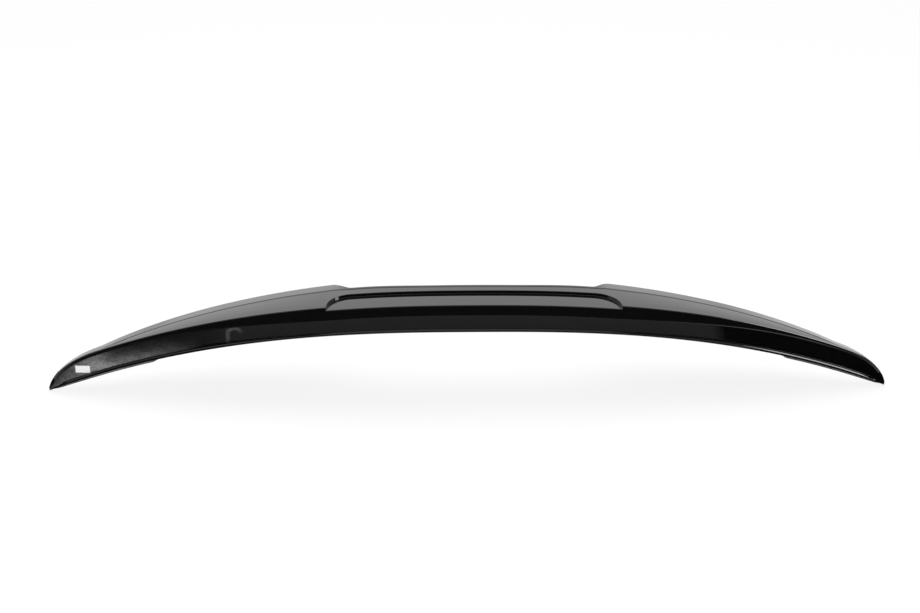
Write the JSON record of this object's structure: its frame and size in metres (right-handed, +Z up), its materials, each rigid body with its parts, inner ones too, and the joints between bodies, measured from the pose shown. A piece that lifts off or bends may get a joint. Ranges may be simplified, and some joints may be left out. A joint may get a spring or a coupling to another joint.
{
  "type": "car rear spoiler",
  "caption": "One-piece gloss black boot-lid spoiler with a raised tail, a sunken panel in the middle of its deck and tips that curve down to points.",
  "frame": {"origin": "middle of the lower rim at the back, where the rear bonding land begins", "axes": "+X across the car to its right, +Y to the front of the car, +Z up"},
  "size_m": [1.3, 0.1537, 0.1731],
  "materials": {
    "gloss_black": "gloss"
  },
  "bodies": {
    "root": {"spoiler": "gloss_black"}
  },
  "joints": []
}
